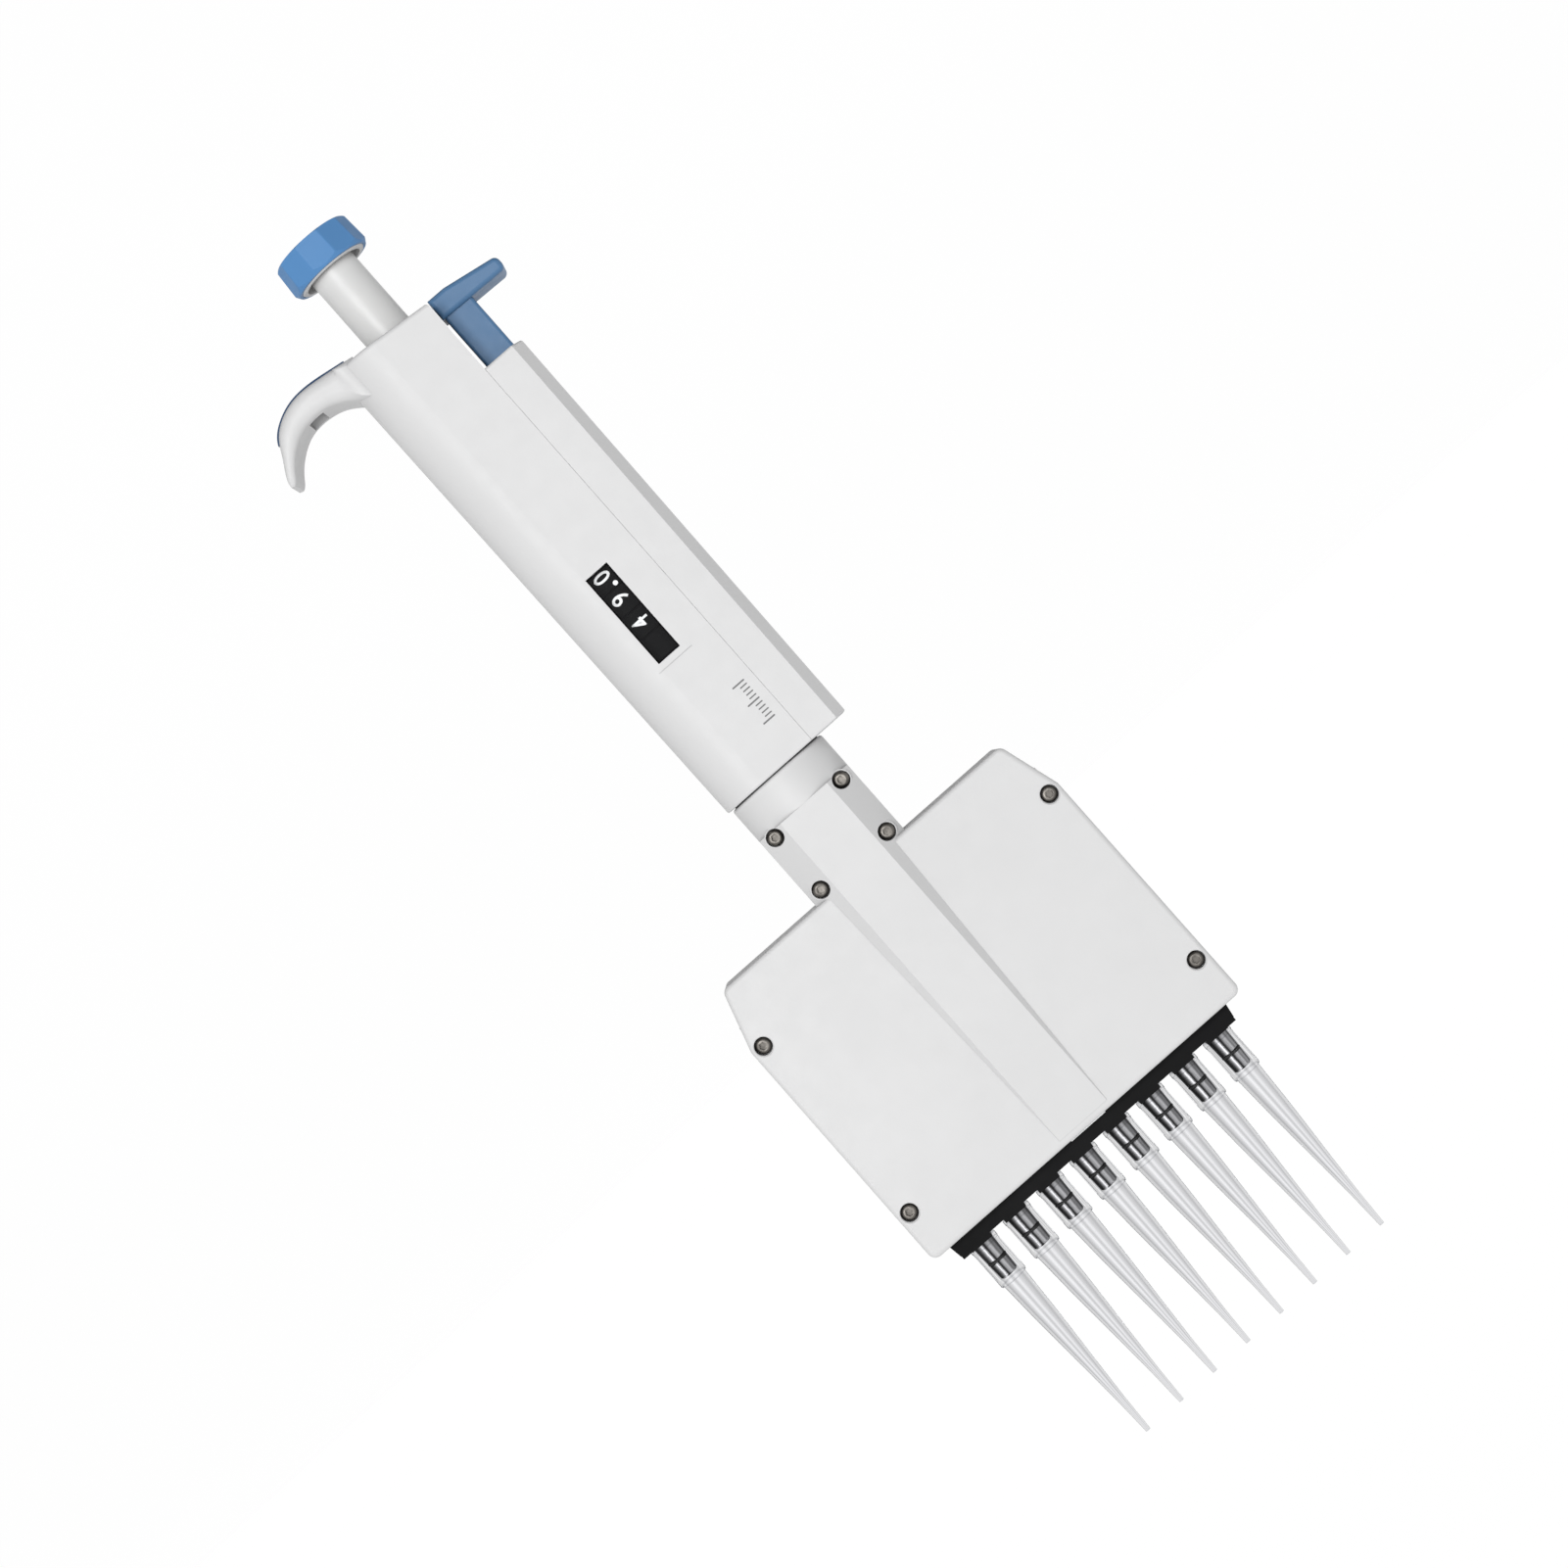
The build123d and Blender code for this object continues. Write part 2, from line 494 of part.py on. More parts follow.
# ================================================================ head shells
def head_plate_outline(inset=0.0):
    x, xt, zs = HEAD_X - inset, HEAD_XT - 0.8 * inset, HEAD_ZS
    z0, z1 = HEAD_Z0 - (1.0 if inset else 0.0), HEAD_Z1 - inset
    with BuildSketch(Plane.XZ) as s:
        with BuildLine():
            Polyline((-x, z0), (x, z0), (x, zs - 0.2 * inset), (xt, z1), (-xt, z1), (-x, zs - 0.2 * inset),
                     close=True)
        make_face()
        fillet(s.vertices().filter_by(lambda v: v.Z > HEAD_Z0 + 5 or inset == 0), 1.8 if not inset else 1.0)
    return s.sketch


def head_solid(inset, mode=Mode.ADD):
    """Tapered plate of the head, thinner towards the top, moved inwards by the inset."""
    with BuildPart() as b:
        extrude(head_plate_outline(inset), amount=20, both=True)
    with BuildPart() as wedge:
        with BuildSketch(Plane.YZ.offset(-60)):
            zl, zh = HEAD_Z0 - 5, HEAD_Z1 + 5
            with BuildLine():
                Polyline((-head_depth(zl) + inset, zl), (head_depth(zl) - inset, zl),
                         (head_depth(zh) - inset, zh), (-head_depth(zh) + inset, zh), close=True)
            make_face()
        extrude(amount=120)
    with BuildPart() as both:
        add(b.part)
        add(wedge.part, mode=Mode.INTERSECT)
    return both.part


plate_outer = head_solid(0.0)
plate_inner = head_solid(SHELL)

with BuildPart() as plate_round:
    add(plate_outer)
    face_edges = plate_round.edges().filter_by(
        lambda e: abs(e.center().Y) > head_depth(e.center().Z) - 0.3 and e.length > 2)
    fillet(face_edges, 1.0)

with BuildPart() as column_outer:
    add(column_section(COL_Z0))
    extrude(amount=COL_Z1 - COL_Z0)
    fillet(column_outer.edges().group_by(Axis.Z)[-1], 0.2)

with BuildPart() as column_inner:
    add(column_section(HEAD_Z0 - 1, SHELL))
    extrude(amount=COL_Z1 - HEAD_Z0 + 2)
    slab(-20, 20, -20, 20, NECK_Z0 + 0.2, NECK_Z0 + 6, mode=Mode.SUBTRACT)

with BuildPart() as head_body:
    add(plate_round.part)
    add(column_outer.part)
    add(plate_inner, mode=Mode.SUBTRACT)
    add(column_inner.part, mode=Mode.SUBTRACT)
    # round collar under the handle, with the groove that holds the flange of the neck tube
    turned([(0, NECK_Z0), (NECK_R, NECK_Z0), (NECK_R, NECK_Z1 - 0.55), (NECK_R - 0.15, NECK_Z1 - 0.2),
            (NECK_R - 0.5, NECK_Z1), (0, NECK_Z1)])
    disc(FLANGE_R + 0.05, FLANGE_Z0 - 0.03, FLANGE_Z1 + 0.03, mode=Mode.SUBTRACT)
    disc(NECK_TUBE_R + 0.02, 120.0, 150.0, mode=Mode.SUBTRACT)
    # screw bosses and the ribs that hold the inner plates
    for x, z in COVER_SCREWS:
        cross_hole(x, z, 2.6, -head_depth(z) + 0.6, head_depth(z) - 0.6, mode=Mode.ADD)
    for x, z in NECK_SCREWS:
        cross_hole(x, z, 2.1, -8.0, 8.0, mode=Mode.ADD)
    disc(NECK_TUBE_R + 0.02, 134.0, 150.0, mode=Mode.SUBTRACT)
    for s in (-1, 1):
        slab(s * 37.1 - 2.3, s * 37.1 + 2.3, -8.6, 8.6, PLATE_Z1 - 5.0, PLATE_Z0 - 0.02)
    split(bisect_by=Plane.XY.offset(HEAD_Z0), keep=Keep.TOP)

def add_ribs(s):
    """Ledges inside one shell: s = -1 for the front, 1 for the rear."""
    y0, y1 = (5.55, 10.6) if s > 0 else (-10.6, -5.55)
    for x in (-30.0, -13.0, 13.0, 30.0):
        slab(x - 1.2, x + 1.2, y0, y1, BLOCK_Z0, BLOCK_Z1 - 0.5)


for name, keep, s in (("head_front_cover", Keep.BOTTOM, -1), ("head_rear_cover", Keep.TOP, 1)):
    with BuildPart() as shell:
        add(head_body.part)
        add_ribs(s)
        split(bisect_by=Plane(origin=(0, 0, 0), z_dir=(0, 1, 0)), keep=keep)
        for x, z in COVER_SCREWS + NECK_SCREWS:
            neck = z > HEAD_Z1
            face_y = -(COL_D - (abs(x) - COL_F)) if neck else -head_depth(z)
            seat = face_y + (2.75 if neck else 2.4)
            if s < 0:
                cross_hole(x, z, 1.12, seat - 0.5, 1.0)
                cross_hole(x, z, RECESS_R, -20.0, seat)
                if not neck:
                    with Locations((x, face_y, z)):
                        Cone(bottom_radius=RECESS_R + 0.5, top_radius=RECESS_R - 0.05, height=0.55,
                             rotation=(-90, 0, 0), mode=Mode.SUBTRACT)
            else:
                cross_hole(x, z, SCREW_R, -1.0, 5.5)
    save(shell, name)


def screw(length, seat_y, x, z):
    """Socket-head cap screw with its head's seat at seat_y, pointing along +Y."""
    with BuildPart() as b:
        cross_hole(x, z, SCREW_HEAD_R, seat_y - SCREW_HEAD_H, seat_y, mode=Mode.ADD)
        fillet(b.edges().sort_by(Axis.Y)[0], 0.75)
        cross_hole(x, z, SCREW_R, seat_y, seat_y + length, mode=Mode.ADD)
        with BuildSketch(Plane(origin=(0, seat_y - SCREW_HEAD_H, 0), x_dir=(1, 0, 0), z_dir=(0, -1, 0))) as s:
            with Locations((x, z)):
                RegularPolygon(radius=0.75, side_count=6, major_radius=False)
        extrude(s.sketch, amount=-1.1, mode=Mode.SUBTRACT)
    return b.part


with BuildPart() as cover_screws:
    for x, z in COVER_SCREWS:
        seat = -head_depth(z) + 2.4
        add(screw(5.4 - seat, seat, x, z))
save(cover_screws, "cover_screws")

with BuildPart() as neck_screws:
    for x, z in NECK_SCREWS:
        seat = -(COL_D - (abs(x) - COL_F)) + 2.75
        add(screw(5.4 - seat, seat, x, z))
save(neck_screws, "neck_screws")

# ================================================================ channel block
with BuildPart() as nozzle_block:
    slab(-35.3, 35.3, -5.5, 5.5, BLOCK_Z0, BLOCK_Z1)
    chamfer(nozzle_block.edges().filter_by(Axis.X), 0.5)
    with BuildSketch(Plane.XY.offset(BLOCK_Z0 - 1)):
        with Locations(*[(x, 0) for x in CH_X]):
            Circle(2.6)
        with Locations((-PILLAR_X, 0), (PILLAR_X, 0)):
            Circle(PILLAR_R - 0.5)
    extrude(amount=20, mode=Mode.SUBTRACT)
save(nozzle_block, "nozzle_block")

GROOVE_Z = 46.2
with BuildPart() as cone:
    def cone_r(z):
        return 2.03 + (2.4 - 2.03) * (z - CONE_END) / (51.1 - CONE_END)
    turned([(0.6, CONE_END), (1.75, CONE_END), (cone_r(42.6), 42.6), (cone_r(GROOVE_Z - 0.42), GROOVE_Z - 0.42),
            (1.72, GROOVE_Z - 0.42), (1.72, GROOVE_Z + 0.42), (cone_r(GROOVE_Z + 0.42), GROOVE_Z + 0.42),
            (2.45, 52.3), (2.6, 52.6), (2.6, CONE_TOP), (1.25, CONE_TOP), (1.25, 57.0), (0.6, 56.0)])
with BuildPart() as tip_cones:
    with Locations(*[(x, 0, 0) for x in CH_X]):
        add(cone.part)
save(tip_cones, "tip_cones")

with BuildPart() as o_ring:
    with BuildSketch(Plane.XZ):
        with Locations((2.03, GROOVE_Z)):
            Circle(0.29)
    revolve(axis=Axis.Z)
with BuildPart() as cone_o_rings:
    with Locations(*[(x, 0, 0) for x in CH_X]):
        add(o_ring.part)
save(cone_o_rings, "cone_o_rings")

with BuildPart() as seal_plate:
    slab(-35.9, 35.9, -4.6, 4.6, CONE_TOP, SEAL_Z1)
    with BuildSketch(Plane.XY.offset(CONE_TOP - 1)):
        with Locations(*[(x, 0) for x in CH_X]):
            Circle(PISTON_R + 0.15)
        with Locations((-PILLAR_X, 0), (PILLAR_X, 0)):
            Circle(PILLAR_R)
    extrude(amount=8, mode=Mode.SUBTRACT)
    with BuildSketch(Plane.XY.offset(CONE_TOP - 1)):
        with Locations(*[(x, 0) for x in CH_X]):
            Circle(2.4)
    extrude(amount=3.6, mode=Mode.SUBTRACT)
save(seal_plate, "seal_plate")

with BuildPart() as piston_seals:
    for x in CH_X:
        disc(2.38, CONE_TOP + 0.02, CONE_TOP + 2.58, x, 0, r_in=PISTON_R + 0.02)
save(piston_seals, "piston_seals")

with BuildPart() as guide_pillars:
    for x in (-PILLAR_X, PILLAR_X):
        turned([(0, BLOCK_Z0 + 1.5), (PILLAR_R - 0.5, BLOCK_Z0 + 1.5), (PILLAR_R - 0.5, BLOCK_Z1), (PILLAR_R, BLOCK_Z1),
                (PILLAR_R, PLATE_Z0), (PILLAR_R - 0.5, PLATE_Z0), (PILLAR_R - 0.5, PLATE_Z1 - 0.2), (0, PLATE_Z1 - 0.2)],
               cx=x)
save(guide_pillars, "guide_pillars")

with BuildPart() as head_plate:
    slab(-36.4, 36.4, -7.2, 7.2, PLATE_Z0, PLATE_Z1)
    fillet(head_plate.edges().filter_by(Axis.Z), 1.5)
    disc(PLUNGER_R + 0.3, PLATE_Z0 - 1, PLATE_Z1 + 1, mode=Mode.SUBTRACT)
    for x in (-PILLAR_X, PILLAR_X):
        disc(PILLAR_R - 0.5, PLATE_Z0 - 1, PLATE_Z1 + 1, x, 0, mode=Mode.SUBTRACT)
save(head_plate, "head_plate")

with BuildPart() as return_springs:
    for x in (-PILLAR_X, PILLAR_X):
        add(spring(2.5, 0.35, SEAL_Z1 + 0.05, KEEPER_Z0 - 0.05, 8, x))
save(return_springs, "return_springs")

BLOW_TOP = 93.5
with BuildPart() as blowout_spring:
    add(spring(2.3, 0.5, SEAL_Z1 + 0.05, BLOW_TOP, 7))
save(blowout_spring, "blowout_spring")

# ================================================================ piston carriage
with BuildPart() as piston_bridge:
    slab(-34.8, 34.8, -4.6, 4.6, BRIDGE_Z0, BRIDGE_Z1)
    fillet(piston_bridge.edges().filter_by(Axis.Z), 2.0)
    disc(5.05, 110.0, BRIDGE_Z1 + 1, mode=Mode.SUBTRACT)
    for x in (-PILLAR_X, PILLAR_X):
        disc(PILLAR_R + 0.06, BRIDGE_Z0 - 1, BRIDGE_Z1 + 1, x, 0, mode=Mode.SUBTRACT)
    with BuildSketch(Plane.XY.offset(BRIDGE_Z0 - 1)):
        with Locations(*[(x, 0) for x in CH_X]):
            Circle(2.05)
    extrude(amount=2.55, mode=Mode.SUBTRACT)
save(piston_bridge, "piston_bridge")

with BuildPart() as bridge_keeper:
    slab(-34.8, 34.8, -4.0, 4.0, KEEPER_Z0, BRIDGE_Z0)
    fillet(bridge_keeper.edges().filter_by(Axis.Z), 2.0)
    with BuildSketch(Plane.XY.offset(KEEPER_Z0 - 1)):
        with Locations(*[(x, 0) for x in CH_X]):
            Circle(PISTON_R + 0.04)
        with Locations((-PILLAR_X, 0), (PILLAR_X, 0)):
            Circle(PILLAR_R + 0.06)
    extrude(amount=4, mode=Mode.SUBTRACT)
save(bridge_keeper, "bridge_keeper")

with BuildPart() as bridge_cap:
    disc(6.4, BRIDGE_Z1, 114.5, r_in=PLUNGER_R + 0.06)
save(bridge_cap, "bridge_cap")

with BuildPart() as piston:
    turned([(0, 74.0), (PISTON_R - 0.3, 74.0), (PISTON_R, 74.3), (PISTON_R, BRIDGE_Z0), (2.0, BRIDGE_Z0), (2.0, 109.5),
            (0, 109.5)])
with BuildPart() as pistons:
    with Locations(*[(x, 0, 0) for x in CH_X]):
        add(piston.part)
save(pistons, "pistons")

# ================================================================ ejector, head side
with BuildPart() as hub_body:
    disc(7.4, HUB_Z0, FOOT_Z0 + 2.0)
    slab(-4.5, 4.5, -9.4, 9.4, HUB_Z0, FOOT_Z0 + 2.0)
    slab(-10, -6.4, -10, 10, HUB_Z0 - 1, HUB_Z0 + 10, mode=Mode.SUBTRACT)
    slab(6.4, 10, -10, 10, HUB_Z0 - 1, HUB_Z0 + 10, mode=Mode.SUBTRACT)
    disc(SLEEVE_R + 0.06, FOOT_Z0 - 0.05, HUB_Z0 + 10, mode=Mode.SUBTRACT)
    disc(PLUNGER_R + 0.4, HUB_Z0 - 1, HUB_Z0 + 4, mode=Mode.SUBTRACT)

with BuildPart() as ejector_frame:
    add(hub_body.part)
    for s in (-1, 1):
        y0, y1 = sorted((s * 8.2, s * 9.4))
        slab(-4.5, 4.5, y0, y1, BAR_Z1, HUB_Z0 + 1.0)
        y0, y1 = sorted((s * 3.2, s * 9.4))
        slab(-4.5, 4.5, y0, y1, BAR_Z1, BAR_Z1 + 1.2)
    for s in (-1, 1):
        for x in CH_X:
            disc(2.75, BAR_Z1 - 1, BAR_Z1 + 3, x, 0, mode=Mode.SUBTRACT)
        disc(SCREW_R + 0.08, BAR_Z1 - 1, BAR_Z1 + 3, 0, s * 5.0, mode=Mode.SUBTRACT)
save(ejector_frame, "ejector_frame")

with BuildPart() as hub_keeper:
    disc(7.4, FOOT_Z0 + 2.0, FOOT_Z0 + 4.6, r_in=4.92)
    slab(-10, -6.4, -10, 10, HUB_Z0 - 1, HUB_Z0 + 10, mode=Mode.SUBTRACT)
    slab(6.4, 10, -10, 10, HUB_Z0 - 1, HUB_Z0 + 10, mode=Mode.SUBTRACT)
save(hub_keeper, "hub_keeper")

with BuildPart() as ejector_bar:
    with BuildSketch(Plane.XZ):
        with BuildLine():
            Polyline((-BAR_X + 0.5, BAR_ROOF), (BAR_X - 0.5, BAR_ROOF), (BAR_X, BAR_Z1), (-BAR_X, BAR_Z1), close=True)
        make_face()
    extrude(amount=BAR_D, both=True)
    for x in CH_X:
        slab(x - 2.65, x + 2.65, -BAR_D, BAR_D, BAR_Z0, BAR_ROOF + 0.2)
    for s in (-1, 1):
        x0, x1 = sorted((s * (BAR_X - 0.6), s * (BAR_X - 3.4)))
        slab(x0, x1, -BAR_D, BAR_D, BAR_Z0 + 0.15, BAR_ROOF + 0.2)
    with BuildSketch(Plane.XY.offset(BAR_Z0 - 1)):
        with Locations(*[(x, 0) for x in CH_X]):
            Circle(2.72)
        with Locations((0, 5.0), (0, -5.0)):
            Circle(SCREW_R)
    extrude(amount=10, mode=Mode.SUBTRACT)
save(ejector_bar, "ejector_bar")

with BuildPart() as bar_screws:
    for s in (-1, 1):
        disc(1.8, BAR_Z1 + 1.2, BAR_Z1 + 2.5, 0, s * 5.0)
        disc(SCREW_R, BAR_ROOF + 0.3, BAR_Z1 + 1.3, 0, s * 5.0)
save(bar_screws, "bar_screws")

# ================================================================ tips
TIP_OUT = [(0.55, 0.0), (0.70, 4.2), (0.85, 8.1), (1.10, 12.1), (1.45, 18.0), (1.72, 22.0), (2.10, 27.9), (2.34, 31.9),
           (2.70, 39.8), (2.78, 41.0)]
TIP_IN = [(2.24, 41.0), (2.16, 39.8), (1.82, 31.9), (1.60, 27.9), (1.26, 22.0), (1.02, 18.0), (0.70, 12.1),
          (0.50, 8.1), (0.36, 4.2), (0.25, 0.0)]
with BuildPart() as tip:
    turned(TIP_OUT + [(3.1, 41.0), (3.25, 41.3), (3.25, 49.8), (TIP_COLLAR_R, 49.95),
                      (TIP_COLLAR_R, TIP_TOP - 0.15), (TIP_COLLAR_R - 0.15, TIP_TOP), (2.6, TIP_TOP)] + TIP_IN)
    # shallow lengthwise grooves round the collar
    with BuildSketch(Plane.XY.offset(42.6)):
        with PolarLocations(3.25, 12, start_angle=15):
            Rectangle(0.24, 0.5)
    extrude(amount=49.2 - 42.6, mode=Mode.SUBTRACT)
for i, x in enumerate(CH_X):
    with BuildPart() as fitted:
        with Locations((x, 0, 0)):
            add(tip.part)
    save(fitted, f"tip_{i + 1}")
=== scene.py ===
import math
import json

import bmesh
import bpy
from mathutils import Matrix, Vector


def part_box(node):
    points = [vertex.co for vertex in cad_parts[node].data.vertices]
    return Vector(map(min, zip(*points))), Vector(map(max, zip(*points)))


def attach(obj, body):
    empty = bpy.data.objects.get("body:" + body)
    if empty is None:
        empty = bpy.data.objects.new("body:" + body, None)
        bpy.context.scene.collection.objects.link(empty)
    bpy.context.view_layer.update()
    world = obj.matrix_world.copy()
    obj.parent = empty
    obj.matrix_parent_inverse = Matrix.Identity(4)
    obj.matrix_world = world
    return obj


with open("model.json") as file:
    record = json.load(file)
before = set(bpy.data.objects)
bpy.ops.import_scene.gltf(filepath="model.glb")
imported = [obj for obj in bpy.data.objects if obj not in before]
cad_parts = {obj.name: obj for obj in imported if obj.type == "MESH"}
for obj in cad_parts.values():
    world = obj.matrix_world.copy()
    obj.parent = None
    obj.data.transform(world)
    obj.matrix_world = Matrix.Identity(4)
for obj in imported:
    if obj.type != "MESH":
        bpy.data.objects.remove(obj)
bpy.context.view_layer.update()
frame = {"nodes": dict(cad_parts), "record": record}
NODES = frame["nodes"]
MM = 0.001

scene = bpy.context.scene
scene.view_settings.view_transform = "Standard"
scene.view_settings.look = "None"
scene.view_settings.exposure = 0.0
scene.view_settings.gamma = 1.0
scene.cycles.min_transparent_bounces = 8


# ------------------------------------------------------------------ camera
def make_camera():
    data = bpy.data.cameras.new("camera")
    data.sensor_fit = "HORIZONTAL"
    data.sensor_width = 36.0
    data.lens = 78.77
    data.clip_start, data.clip_end = 0.02, 20.0
    cam = bpy.data.objects.new("camera", data)
    scene.collection.objects.link(cam)
    roll = math.radians(41.42)
    c, s = math.cos(roll), math.sin(roll)
    right, up, back = Vector((c, 0, -s)), Vector((s, 0, c)), Vector((0, -1, 0))
    m = Matrix((
        (right.x, up.x, back.x, -0.00035),
        (right.y, up.y, back.y, -0.694),
        (right.z, up.z, back.z, 0.1467),
        (0, 0, 0, 1),
    ))
    cam.matrix_world = m
    scene.camera = cam
    return cam


make_camera()


# ------------------------------------------------------------------ node helpers
class Tree:
    """Small helper that builds one material's node tree."""

    def __init__(self, name):
        self.mat = bpy.data.materials.new(name)
        self.mat.use_nodes = True
        self.nt = self.mat.node_tree
        self.nt.nodes.clear()
        self.out = self.nt.nodes.new("ShaderNodeOutputMaterial")
        self.coord = self.nt.nodes.new("ShaderNodeTexCoord")

    def node(self, kind, **values):
        n = self.nt.nodes.new(kind)
        for k, v in values.items():
            if k.startswith("_"):
                setattr(n, k[1:], v)
            else:
                n.inputs[k.replace("__", " ")].default_value = v
        return n

    def link(self, a, a_socket, b, b_socket):
        self.nt.links.new(a.outputs[a_socket], b.inputs[b_socket])

    def noise(self, scale, detail=3.0, rough=0.5, stretch=None):
        n = self.node("ShaderNodeTexNoise", Scale=scale, Detail=detail, Roughness=rough)
        if stretch:
            m = self.node("ShaderNodeMapping")
            m.inputs["Scale"].default_value = stretch
            self.link(self.coord, "Object", m, "Vector")
            self.link(m, "Vector", n, "Vector")
        else:
            self.link(self.coord, "Object", n, "Vector")
        return n

    def ramp(self, src, socket, stops):
        r = self.nt.nodes.new("ShaderNodeValToRGB")
        e = r.color_ramp.elements
        while len(e) < len(stops):
            e.new(0.5)
        for el, (pos, col) in zip(e, stops):
            el.position = pos
            el.color = (*col, 1.0) if len(col) == 3 else col
        self.link(src, socket, r, "Fac")
        return r

    def scalar(self, src, socket, lo, hi, out_lo, out_hi):
        n = self.node("ShaderNodeMapRange")
        n.inputs["From Min"].default_value = lo
        n.inputs["From Max"].default_value = hi
        n.inputs["To Min"].default_value = out_lo
        n.inputs["To Max"].default_value = out_hi
        self.link(src, socket, n, "Value")
        return n

    def bump(self, src, socket, distance, strength=1.0, after=None):
        b = self.node("ShaderNodeBump", Strength=strength, Distance=distance)
        self.link(src, socket, b, "Height")
        if after:
            self.link(after, "Normal", b, "Normal")
        return b


def shade(col, k):
    return tuple(min(1.0, c * k) for c in col)


def plastic(name, color, rough=0.38, grain=0.000012, grain_scale=2600.0, wave=0.00003, sss=0.0, vary=0.035,
            painted_shade_reach=0.0006, specular=0.5, coat=0.0):
    """Injection-moulded plastic: fine spark-eroded grain, faint sink marks, uneven gloss, and painted shade that
    darkens the base colour in crevices.
    """
    t = Tree(name)
    p = t.node("ShaderNodeBsdfPrincipled")
    p.inputs["Specular IOR Level"].default_value = specular
    p.inputs["IOR"].default_value = 1.49
    if coat:
        p.inputs["Coat Weight"].default_value = coat
        p.inputs["Coat Roughness"].default_value = 0.12
    cloud = t.noise(38.0, 4.0, 0.55)
    col = t.ramp(cloud, "Fac", [(0.32, shade(color, 1 - vary)), (0.68, shade(color, 1 + vary * 0.6))])
    base, base_socket = col, "Color"
    if painted_shade_reach:
        # painted shade: an ambient-occlusion mask multiplies the base colour darker in creases, seams and recesses,
        # where shade falls
        ao = t.node("ShaderNodeAmbientOcclusion", Distance=painted_shade_reach, _samples=6)
        painted_crevice_shade = t.scalar(ao, "AO", 0.35, 0.95, 0.72, 1.0)
        mul = t.nt.nodes.new("ShaderNodeMix")
        mul.data_type, mul.blend_type = "RGBA", "MULTIPLY"
        mul.inputs["Factor"].default_value = 1.0
        t.nt.links.new(col.outputs["Color"], mul.inputs[6])
        t.nt.links.new(painted_crevice_shade.outputs["Result"], mul.inputs[7])
        t.nt.links.new(mul.outputs[2], p.inputs["Base Color"])
    else:
        t.link(base, base_socket, p, "Base Color")
    gloss = t.noise(240.0, 3.0, 0.6)
    r = t.scalar(gloss, "Fac", 0.3, 0.7, rough - 0.05, rough + 0.06)
    t.link(r, "Result", p, "Roughness")
    fine = t.noise(grain_scale, 2.0, 0.55)
    b1 = t.bump(fine, "Fac", grain, 0.8)
    sink = t.noise(55.0, 2.0, 0.45)
    b2 = t.bump(sink, "Fac", wave, 0.7, b1)
    t.link(b2, "Normal", p, "Normal")
    if sss:
        p.inputs["Subsurface Weight"].default_value = sss
        p.inputs["Subsurface Radius"].default_value = (0.0012, 0.0011, 0.0010)
        p.inputs["Subsurface Scale"].default_value = 1.0
    t.link(p, "BSDF", t.out, "Surface")
    return t.mat


def metal(name, color, rough=0.25, ring_scale=0.0, ring_depth=0.000004, speck=0.06):
    """Turned or drawn metal: tool rings along the axis, streaked roughness and slight staining."""
    t = Tree(name)
    p = t.node("ShaderNodeBsdfPrincipled", Metallic=1.0)
    stain = t.noise(420.0, 4.0, 0.6)
    col = t.ramp(stain, "Fac", [(0.3, shade(color, 1 - speck * 2)), (0.7, shade(color, 1 + speck))])
    t.link(col, "Color", p, "Base Color")
    streak = t.noise(900.0, 3.0, 0.5, (1.0, 1.0, 0.12))
    r = t.scalar(streak, "Fac", 0.3, 0.7, rough * 0.75, rough * 1.3)
    t.link(r, "Result", p, "Roughness")
    fine = t.noise(3200.0, 2.0, 0.5)
    b = t.bump(fine, "Fac", 0.000004, 0.5)
    if ring_scale:
        w = t.node("ShaderNodeTexWave", Scale=ring_scale, Distortion=0.6, Detail=1.0)
        w.wave_type, w.bands_direction = "BANDS", "Z"
        t.link(t.coord, "Object", w, "Vector")
        b = t.bump(w, "Fac", ring_depth, 0.6, b)
    t.link(b, "Normal", p, "Normal")
    t.link(p, "BSDF", t.out, "Surface")
    return t.mat


def rubber(name, color, rough=0.62):
    t = Tree(name)
    p = t.node("ShaderNodeBsdfPrincipled")
    p.inputs["Specular IOR Level"].default_value = 0.35
    dust = t.noise(700.0, 4.0, 0.65)
    col = t.ramp(dust, "Fac", [(0.35, color), (0.8, shade(color, 1.9))])
    t.link(col, "Color", p, "Base Color")
    r = t.scalar(dust, "Fac", 0.3, 0.7, rough - 0.06, rough + 0.1)
    t.link(r, "Result", p, "Roughness")
    fine = t.noise(2400.0, 3.0, 0.6)
    b = t.bump(fine, "Fac", 0.00002, 0.8)
    t.link(b, "Normal", p, "Normal")
    t.link(p, "BSDF", t.out, "Surface")
    return t.mat


def srgb(v):
    """Linear value of an 8-bit display value."""
    v = v / 255.0
    return v / 12.92 if v <= 0.04045 else ((v + 0.055) / 1.055) ** 2.4


